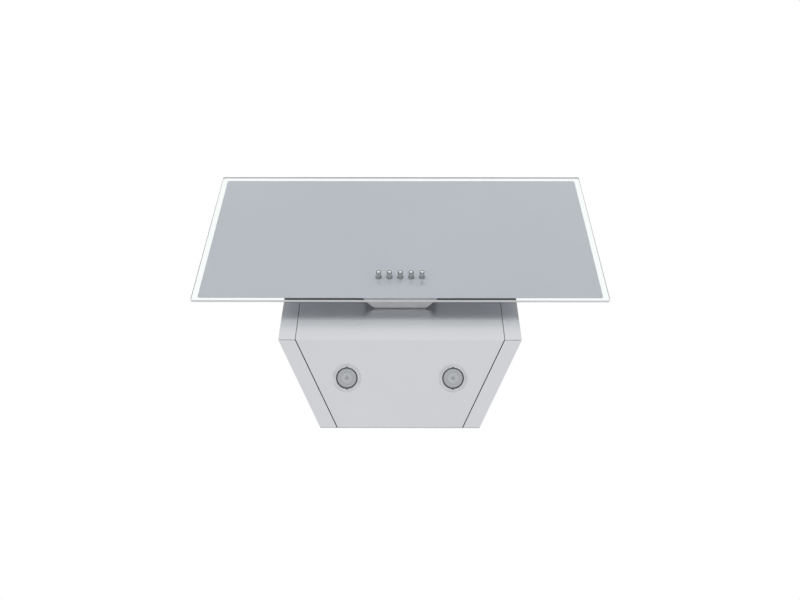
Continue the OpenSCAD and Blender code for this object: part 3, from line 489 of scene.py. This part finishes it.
def piece(name, bm, body, materials, replaces=()):
    """Makes bm a piece that rides on a body of the part, in place of the nodes in replaces."""
    soften(bm)
    mesh = bpy.data.meshes.new(name)
    bm.to_mesh(mesh)
    bm.free()
    made = bpy.data.objects.new(name, mesh)
    bpy.context.scene.collection.objects.link(made)
    for material in materials:
        mesh.materials.append(material)
    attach(made, body)
    if replaces:
        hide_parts(*replaces)


def copied(node_name):
    """A merged copy of a node's mesh with its flat faces made whole."""
    flat = math.radians(1)
    bm = bmesh.new()
    bm.from_mesh(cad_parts[node_name].data)
    bmesh.ops.remove_doubles(bm, verts=bm.verts[:], dist=1e-6)
    bmesh.ops.dissolve_limit(bm, angle_limit=flat, verts=bm.verts[:], edges=bm.edges[:])
    return bm


def clean(bm):
    """Merges points that meet and turns all faces outward."""
    dist = 1e-7
    bmesh.ops.remove_doubles(bm, verts=bm.verts[:], dist=dist)
    bmesh.ops.dissolve_degenerate(bm, edges=bm.edges[:], dist=dist)
    bmesh.ops.recalc_face_normals(bm, faces=bm.faces[:])


def sharp_edges(bm, over):
    return [e for e in bm.edges if len(e.link_faces) == 2 and e.calc_face_angle(0) > over]


def bevel(bm, edges, width, segments):
    bmesh.ops.bevel(
        bm, geom=edges, offset=width, affect="EDGES", segments=segments, profile=0.5, material=-1,
        clamp_overlap=True,
    )


def ease_edges(bm, width, segments=2):
    bevel(bm, sharp_edges(bm, math.radians(40)), width, segments)


def revolve(bm, outline, segments, group=0):
    """Spins an outline of (radius, height) pairs, in millimetres, round local Z."""
    verts = [bm.verts.new((r * MM, 0, z * MM)) for r, z in outline]
    edges = [bm.edges.new(pair) for pair in zip(verts, verts[1:])]
    before = set(bm.faces)
    bmesh.ops.spin(
        bm, geom=verts + edges, cent=(0, 0, 0), axis=(0, 0, 1), angle=math.tau, steps=segments,
        use_merge=True, use_duplicate=False,
    )
    for face in bm.faces:
        if face not in before:
            face.material_index = group


def turned(outline, segments):
    """A part of its own, revolved from one outline."""
    bm = bmesh.new()
    revolve(bm, outline, segments)
    clean(bm)
    return bm


def box(size, place=Matrix()):
    """A block of the given size in millimetres, round the origin of its place."""
    bm = bmesh.new()
    scale = Matrix.Diagonal((*[s * MM for s in size], 1))
    bmesh.ops.create_cube(bm, size=1.0, matrix=place @ scale)
    return bm


def prism(sides, radius, depth, place=Matrix()):
    """A prism or cylinder, with sizes in millimetres, round the origin of its place."""
    bm = bmesh.new()
    bmesh.ops.create_cone(
        bm, cap_ends=True, segments=sides, radius1=radius * MM, radius2=radius * MM, depth=depth * MM,
        matrix=place,
    )
    return bm


def add(bm, part, place):
    """Copies part into bm at the given place."""
    mesh = bpy.data.meshes.new("part")
    part.to_mesh(mesh)
    mesh.transform(place)
    bm.from_mesh(mesh)
    bpy.data.meshes.remove(mesh)


def holder(name, bm):
    """A passing object for a modifier to work on."""
    mesh = bpy.data.meshes.new(name)
    bm.to_mesh(mesh)
    made = bpy.data.objects.new(name, mesh)
    bpy.context.scene.collection.objects.link(made)
    return made


def carve(bm, tool, operation="DIFFERENCE"):
    """Takes the tool's shape out of bm, or joins it on, and gives the new bmesh."""
    block = holder("block", bm)
    cutter = holder("cutter", tool)
    cut = block.modifiers.new("cut", "BOOLEAN")
    cut.object = cutter
    cut.operation = operation
    cut.solver = "EXACT"
    done = block.evaluated_get(bpy.context.evaluated_depsgraph_get())
    out = bmesh.new()
    out.from_mesh(done.data)
    for spent in (block, cutter):
        mesh = spent.data
        bpy.data.objects.remove(spent)
        bpy.data.meshes.remove(mesh)
    bm.free()
    tool.free()
    return out


def islands(node_name):
    """Middle and size of each separate solid of a node."""
    bm = copied(node_name)
    left = set(bm.verts)
    found = []
    while left:
        reached = [left.pop()]
        for vert in reached:
            for edge in vert.link_edges:
                other = edge.other_vert(vert)
                if other in left:
                    left.remove(other)
                    reached.append(other)
        low = Vector([min(v.co[k] for v in reached) for k in range(3)])
        high = Vector([max(v.co[k] for v in reached) for k in range(3)])
        found.append(((low + high) / 2, high - low))
    bm.free()
    return sorted(found, key=lambda pair: tuple(round(c, 6) for c in pair[0]))


def pan_screw(head_r, head_t, shank_r, shank_l):
    """A pan head screw with a cross recess, in millimetres. Its head stands on local Z = 0."""
    outline = [
        (0, head_t), (head_r * 0.45, head_t * 0.97), (head_r * 0.75, head_t * 0.8),
        (head_r * 0.94, head_t * 0.45), (head_r, head_t * 0.15), (head_r, 0),
        (shank_r, 0), (shank_r, -shank_l), (0, -shank_l),
    ]
    bm = turned(outline, 32)
    slot = (head_r * 1.15, head_r * 0.24, head_t * 1.1)
    place = Matrix.Translation((0, 0, head_t * MM))
    for angle in (0, math.radians(90)):
        bm = carve(bm, box(slot, place @ Matrix.Rotation(angle, 4, "Z")))
    return bm


def at_both_lamps(part):
    """Two copies of a part that is built round the axis of a lamp."""
    bm = bmesh.new()
    for side in (-1, 1):
        add(bm, part, Matrix.Translation((side * LAMP_X, LAMP_Y, BASE_Z)))
    part.free()
    return bm


# Pieces on the glass


def glass_pane():
    """The pane with eased arrises, and its ground edge in two finishes: a lighter copy for the lower
    edge is a painted highlight.
    """
    # The holes for the buttons keep their edges, and lie this near to the middle of the pane
    holes_within = 0.1
    bm = copied("glass_panel")
    rim = [
        e for e in sharp_edges(bm, math.radians(60))
        if not all(abs(v.co.x) < holes_within for v in e.verts)
    ]
    bevel(bm, rim, GLASS_EASE, 3)
    for face in bm.faces:
        if abs(face.normal.dot(inward())) > 0.95:
            face.material_index = 0
        else:
            # Faces that look down, along the lower edge, take the lighter copy: a painted highlight.
            face.material_index = 2 if face.normal.z < -0.3 else 1
    finishes = [glass, glass_edge, glass_edge_low_painted_highlight]
    piece("glass_pane", bm, "glass_front", finishes, ["glass_panel"])


def enamel_sheet():
    """The coat, with its face a hair behind the pane so that the two never share a surface."""
    near = 0.0001
    bm = copied("glass_enamel")
    back = max(v.co.dot(inward()) for v in bm.verts)
    for vert in bm.verts:
        if vert.co.dot(inward()) < back - near:
            vert.co += inward() * COAT_GAP
    for face in bm.faces:
        face.material_index = 1 if face.normal.dot(inward()) > 0.5 else 0
    finishes = [enamel_front, enamel_back]
    piece("enamel_sheet", bm, "glass_front", finishes, ["glass_enamel"])


def push_button(number):
    """A turned cap with a groove near its rim, a stop flange and a stem; groove and top of the rim are
    near black as painted shade, and the side is a darker copy of the face's metal as painted shade.
    """
    top = 12.0
    face_r, cap_r, flange_r, stem_r = 3.95, 5.5, 7.6, 2.75
    groove_end, flange_top, flange_low, stem_end = top - 0.7, -6.6, -8.1, -23.0
    face = [(0, top - 0.25), (2.6, top - 0.2), (3.75, top - 0.1), (face_r, top - 0.2)]
    groove = [
        (face_r, top - 0.2), (4.05, top - 0.4), (4.3, top - 0.12), (4.9, top), (5.3, top - 0.06),
        (cap_r, top - 0.3), (cap_r, groove_end),
    ]
    side = [
        (cap_r, groove_end), (cap_r, 0.9), (cap_r, flange_top), (flange_r, flange_top),
        (flange_r, flange_low), (stem_r, flange_low), (stem_r, stem_end), (0, stem_end),
    ]
    bm = bmesh.new()
    for group, outline in enumerate((face, groove, side)):
        revolve(bm, outline, 48, group)
    clean(bm)
    bm.transform(into_front(button_x(number), BUTTON_UP, GLASS_FACE))
    piece(
        f"push_button_cap_{number}", bm, f"push_button_{number}",
        [button_face, groove_painted_shade, button_side_painted_shade], [f"button_{number}"],
    )


def printed_marks():
    """Generic marks on the glass below the buttons: a ring, one, two and three bars, and a dot."""
    thick, mark_r, hole_r = 0.04, 3.1, 1.7
    bar_size = (6.4, 1.1, thick)
    ring = [(hole_r, 0), (mark_r, 0), (mark_r, thick), (hole_r, thick), (hole_r, 0)]
    dot = [(0, 0), (mark_r, 0), (mark_r, thick), (0, thick)]
    bm = bmesh.new()
    for number in range(1, BUTTONS + 1):
        place = into_front(button_x(number), BUTTON_UP - MARK_DROP, GLASS_FACE - MARK_GAP)
        if number in (1, BUTTONS):
            part = turned(ring if number == 1 else dot, 32)
            add(bm, part, place)
        else:
            part = box(bar_size)
            bars = number - 1
            for bar in range(bars):
                up = (bar - (bars - 1) / 2) * BAR_PITCH
                add(bm, part, place @ Matrix.Translation((0, up, thick / 2 * MM)))
        part.free()
    piece("printed_mark_row", bm, "glass_front", [print_ink])


def box_pad():
    """Soft foam strip along the lower end of the switch box, which closes the gap to the sheet; its
    grey is painted shade, set to the soft shade under the box.
    """
    place = front(0, BOX_UP + PAD_TALL / 2, -(PAD_GAP + BOX_GAP) / 2)
    bm = box((PAD_WIDE / MM, (BOX_GAP - PAD_GAP) / MM, PAD_TALL / MM), place)
    ease_edges(bm, PAD_EASE, segments=3)
    piece("switch_box_pad", bm, "glass_front", [foam])


# Pieces on the body


def shade_band_strip():
    """Ribbed rubber strip across the front, where the clear edge of the pane lets it show: a dark band
    of painted shade for the deep shade in the gap behind the pane.
    """
    tall, edge, foot, web, rib = 15.0, 1.0, 0.1, 1.6, 2.6
    outline = [(0, foot), (0, edge), (edge, web)]
    for up in (2.8, 8.2):
        outline += [(up, web), (up + 0.8, rib), (up + 3.2, rib), (up + 4.0, web)]
    outline += [(tall - edge, web), (tall, edge), (tall, foot)]
    bm = bmesh.new()
    section = bm.faces.new([bm.verts.new((-STRIP_HALF, -out * MM, up * MM)) for up, out in outline])
    grown = bmesh.ops.extrude_face_region(bm, geom=[section])
    far_end = [part for part in grown["geom"] if isinstance(part, bmesh.types.BMVert)]
    bmesh.ops.translate(bm, verts=far_end, vec=(2 * STRIP_HALF, 0, 0))
    bm.transform(front(0, STRIP_UP, 0))
    clean(bm)
    piece("front_painted_shade_strip", bm, "housing", [rubber])


def lamp_lenses():
    """Both lamp lenses: frosted discs with a dimple, a raised ring, a groove and a rounded rim."""
    low, thick = -0.8, 3.0
    outline = [
        (0, low + 0.35), (1.2, low + 0.3), (2.0, low), (7.0, low), (7.6, low - 0.12), (8.8, low - 0.12),
        (9.4, low), (13.4, low), (14.0, low + 0.4), (14.6, low), (LENS_R - 1.0, low),
        (LENS_R - 0.3, low + 0.25), (LENS_R, low + 0.8), (LENS_R, low + thick), (0, low + thick),
    ]
    bm = at_both_lamps(turned(outline, 96))
    piece("lamp_lens_pair", bm, "housing", [lens_glass], ["lamp_lenses"])


def lamp_gaskets():
    """Dark rubber rings between each lens and its flange, with a tab at front and back."""
    inner, outer, low, high = LENS_R + 0.06, GROOVE_R - 0.06, -0.95, 0.75
    lip_wide, lip_tall = 0.35, 0.3
    tab_size = (2.9, 2.4, 1.1)
    tab_place = (0, 0.0230, -0.0006)
    outline = [
        (inner, high), (inner, low + lip_tall), (inner + lip_wide, low), (outer - lip_wide, low),
        (outer, low + lip_tall), (outer, high), (inner, high),
    ]
    part = turned(outline, 96)
    for angle in (0, math.pi):
        tab = Matrix.Rotation(angle, 4, "Z") @ Matrix.Translation(tab_place)
        part = carve(part, box(tab_size, tab), "UNION")
    bm = at_both_lamps(part)
    piece("lamp_gasket_rings", bm, "housing", [rubber])


def panel_screws():
    """Screws that hold the top plate to the sides, each with its cross turned another way."""
    shank_r, shank_l = 2.0, 7.0
    bm = bmesh.new()
    for middle, size in islands("panel_screws"):
        part = pan_screw(size.x / 2 / MM, size.z / MM - shank_l, shank_r, shank_l)
        cross = Matrix.Rotation(middle.x * 40, 4, "Z")
        add(bm, part, Matrix.Translation((middle.x, middle.y, TOP_Z)) @ cross)
        part.free()
    piece("panel_screw_set", bm, "housing", [blackened], ["panel_screws"])


def duct_rivets():
    """Rivets that hold the collar's ring to the top plate."""
    rivets = 8
    part = turned([(0, 1.1), (1.2, 0.95), (2.1, 0.5), (2.4, 0), (0, 0)], 20)
    reach = DUCT_R + DUCT_RING / 2
    bm = bmesh.new()
    for number in range(rivets):
        angle = math.tau * (number + 0.5) / rivets
        place = (reach * math.cos(angle), DUCT_Y + reach * math.sin(angle), TOP_Z + DUCT_RING_T)
        add(bm, part, Matrix.Translation(place))
    part.free()
    piece("duct_ring_rivets", bm, "housing", [bright_zinc])


def junction_screws():
    """Four screws in the corners of the junction lid, each with its cross turned another way."""
    low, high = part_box("junction_lid")
    part = pan_screw(head_r=2.6, head_t=1.4, shank_r=1.0, shank_l=1.0)
    bm = bmesh.new()
    for x in (low[0] + LID_SCREW_INSET, high[0] - LID_SCREW_INSET):
        for y in (low[1] + LID_SCREW_INSET, high[1] - LID_SCREW_INSET):
            cross = Matrix.Rotation(x * 90 + y * 50, 4, "Z")
            add(bm, part, Matrix.Translation((x, y, high[2])) @ cross)
    part.free()
    piece("junction_lid_screws", bm, "housing", [bright_zinc])


def hinge_screws():
    """Two screws through each fixed hinge leaf, each with its cross turned another way."""
    part = pan_screw(head_r=3.4, head_t=1.5, shank_r=1.4, shank_l=1.0)
    bm = bmesh.new()
    for side in (-1, 1):
        for step in (-HINGE_SCREW_APART / 2, HINGE_SCREW_APART / 2):
            place = into_front(side * HINGE_X + step, HINGE_SCREW_UP, -HINGE_LEAF_T)
            add(bm, part, place @ Matrix.Rotation(step * 60 + side, 4, "Z"))
    part.free()
    piece("hinge_leaf_screws", bm, "housing", [bright_zinc])


def cable_gland():
    """Gland body with a hexagonal collar and a ribbed cap nut, open for the cable."""
    low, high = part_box("cable_gland")
    long = (high[0] - low[0]) / MM
    bore, thread, hexagon, cap = 4.5, 7.0, 9.4, 8.6
    hexagon_t = 5.5
    hexagon_at = long - 15.2
    notches = 12
    notch_size = (1.0, 1.2, 7.0)
    notch_at = long - 7.5
    outline = [
        (bore, 0), (thread, 0), (thread, long - 18), (cap, long - 17.5), (cap, long - 16),
        (cap, long - 6), (cap - 0.6, long - 2.5), (thread, long - 0.6), (thread - 0.8, long),
        (bore, long), (bore, 0),
    ]
    bm = turned(outline, 48)
    collar = prism(6, hexagon, hexagon_t, Matrix.Translation((0, 0, hexagon_at * MM)))
    ease_edges(collar, 0.0005)
    bm = carve(bm, collar, "UNION")
    bm = carve(bm, prism(48, bore, 100))
    for number in range(notches):
        spoke = Matrix.Rotation(math.tau * number / notches, 4, "Z")
        notch = spoke @ Matrix.Translation((cap * MM, 0, notch_at * MM))
        bm = carve(bm, box(notch_size, notch))
    middle = ((low[1] + high[1]) / 2, (low[2] + high[2]) / 2)
    bm.transform(Matrix.Translation((high[0], *middle)) @ Matrix.Rotation(math.radians(-90), 4, "Y"))
    piece(
        "cable_gland_nut", bm, "housing", [black_plastic], ["cable_gland"]
    )


glass_pane()
enamel_sheet()
for number in range(1, BUTTONS + 1):
    push_button(number)
printed_marks()
box_pad()
shade_band_strip()
lamp_lenses()
lamp_gaskets()
panel_screws()
duct_rivets()
junction_screws()
cable_gland()
hinge_screws()


# Room, light and camera


def rays_to(tree, target, elsewhere=0.0):
    """Feeds 1 to camera, glossy and transmitted rays, and a plain level to all others."""
    path = tree.nodes.new("ShaderNodeLightPath")
    level = tree.nodes.new("ShaderNodeMapRange")
    level.inputs["To Min"].default_value = elsewhere
    level.inputs["To Max"].default_value = 1.0
    total = path.outputs["Is Camera Ray"]
    for ray in ("Is Glossy Ray", "Is Transmission Ray"):
        step = tree.nodes.new("ShaderNodeMath")
        step.operation = "MAXIMUM"
        tree.links.new(total, step.inputs[0])
        tree.links.new(path.outputs[ray], step.inputs[1])
        total = step.outputs[0]
    tree.links.new(total, level.inputs["Value"])
    tree.links.new(level.outputs["Result"], target)


def room():
    world = bpy.data.worlds.new("pale_room")
    bpy.context.scene.world = world
    world.use_nodes = True
    back = world.node_tree.nodes["Background"]
    back.inputs["Color"].default_value = (1, 1, 1, 1)
    rays_to(world.node_tree, back.inputs["Strength"], ROOM_LEVEL)


def pale_floor():
    """Floor paint that is white where it is seen, and pale where it only lights the object."""
    made = finish("pale_floor", (0.86, 0.86, 0.86), roughness=0.7)
    vary_colour(made, noise(made, scale=1.5), (0.85, 0.85, 0.85), (0.88, 0.88, 0.88))
    glow = node(made, "ShaderNodeEmission")
    either = node(made, "ShaderNodeMixShader")
    rays_to(made.node_tree, either.inputs["Fac"])
    join(made, shader_of(made).outputs["BSDF"], either.inputs[1])
    join(made, glow.outputs["Emission"], either.inputs[2])
    surface = made.node_tree.nodes["Material Output"].inputs["Surface"]
    join(made, either.outputs["Shader"], surface)
    return made


def floor():
    half, height = 7.0, -3.3
    bm = bmesh.new()
    bmesh.ops.create_grid(bm, x_segments=2, y_segments=2, size=half)
    bmesh.ops.translate(bm, verts=bm.verts[:], vec=(0, 0, height))
    mesh = bpy.data.meshes.new("floor")
    bm.to_mesh(mesh)
    bm.free()
    made = bpy.data.objects.new("floor", mesh)
    bpy.context.scene.collection.objects.link(made)
    mesh.materials.append(pale_floor())


def softbox(name, place, aim, size, power):
    """A round lamp that lights the part, and isn't seen in its glass or metal."""
    light = bpy.data.lights.new(name, "AREA")
    light.shape = "DISK"
    light.size = size
    light.energy = power
    lamp = bpy.data.objects.new(name, light)
    lamp.location = place
    lamp.rotation_euler = (Vector(aim) - Vector(place)).to_track_quat("-Z", "Y").to_euler()
    lamp.visible_glossy = False
    lamp.visible_transmission = False
    bpy.context.scene.collection.objects.link(lamp)


def camera():
    """Looks up from below the hood, as the photograph does."""
    place = (0.00975, -0.50388, -2.27421)
    tilt = math.radians(6.3924)
    yaw = math.radians(-0.2663)
    roll = math.radians(0.0659)
    data = bpy.data.cameras.new("camera")
    data.lens = 45.0
    data.sensor_width = 36.0
    data.clip_end = 50.0
    seen = bpy.data.objects.new("camera", data)
    bpy.context.scene.collection.objects.link(seen)
    ahead = math.cos(yaw)
    look = Vector((math.sin(yaw), math.sin(tilt) * ahead, math.cos(tilt) * ahead))
    side = look.cross(Vector((0, -math.cos(tilt), math.sin(tilt)))).normalized()
    up = side.cross(look)
    seen.matrix_world = (
        Matrix.Translation(place)
        @ Matrix((side, up, -look)).transposed().to_4x4()
        @ Matrix.Rotation(roll, 4, "Z")
    )
    bpy.context.scene.camera = seen


room()
floor()
softbox("key_softbox", place=(-1.5, -2.8, 0.2), aim=(0, -0.3, 0), size=1.4, power=26)
softbox("fill_softbox", place=(1.6, -1.2, -1.6), aim=(0, -0.2, 0), size=1.6, power=10)
camera()
bpy.context.scene.view_settings.view_transform = "Standard"
